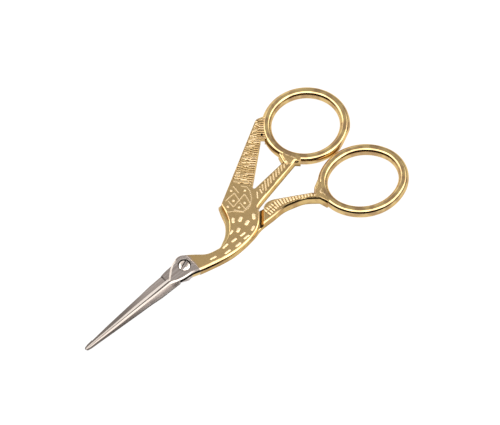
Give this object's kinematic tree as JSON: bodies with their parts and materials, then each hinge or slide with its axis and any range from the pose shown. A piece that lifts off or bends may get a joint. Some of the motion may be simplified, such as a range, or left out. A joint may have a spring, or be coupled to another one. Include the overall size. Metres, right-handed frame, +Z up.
{
  "type": "embroidery scissors",
  "caption": "Small gilt embroidery scissors shaped like a stork: long steel beak blades on a slotted pivot screw, feathered body, tail, legs and oval finger rings.",
  "frame": {"origin": "on the pivot screw's axis, in the flat plane the scissors lie on (underside of the lower half and of both rings)", "axes": "+X from the screw towards the finger rings, so the blade tips point to -X; +Y towards the thumb ring and the stork's tail; +Z up along the screw, out through its slotted head"},
  "size_m": [0.1138, 0.0508, 0.0036],
  "materials": {
    "blade_steel": "brushed flats with polished bevels",
    "gilt_handle": "matte gilt face in low relief, polished rims and walls",
    "gilt_ring": "polished gilt",
    "screw_steel": "turned and lightly polished"
  },
  "bodies": {
    "lower_half": {"lower_blade": "blade_steel", "lower_handle": "gilt_handle", "finger_ring": "gilt_ring", "pivot_screw": "screw_steel"},
    "upper_half": {"upper_blade": "blade_steel", "upper_handle": "gilt_handle", "thumb_ring": "gilt_ring"}
  },
  "joints": [
    {"name": "blade_pivot", "type": "hinge", "parent": "lower_half", "child": "upper_half", "pos_m": [0, 0, 0.0018], "axis": [0, 0, 1], "range_deg": [0, 90]}
  ]
}
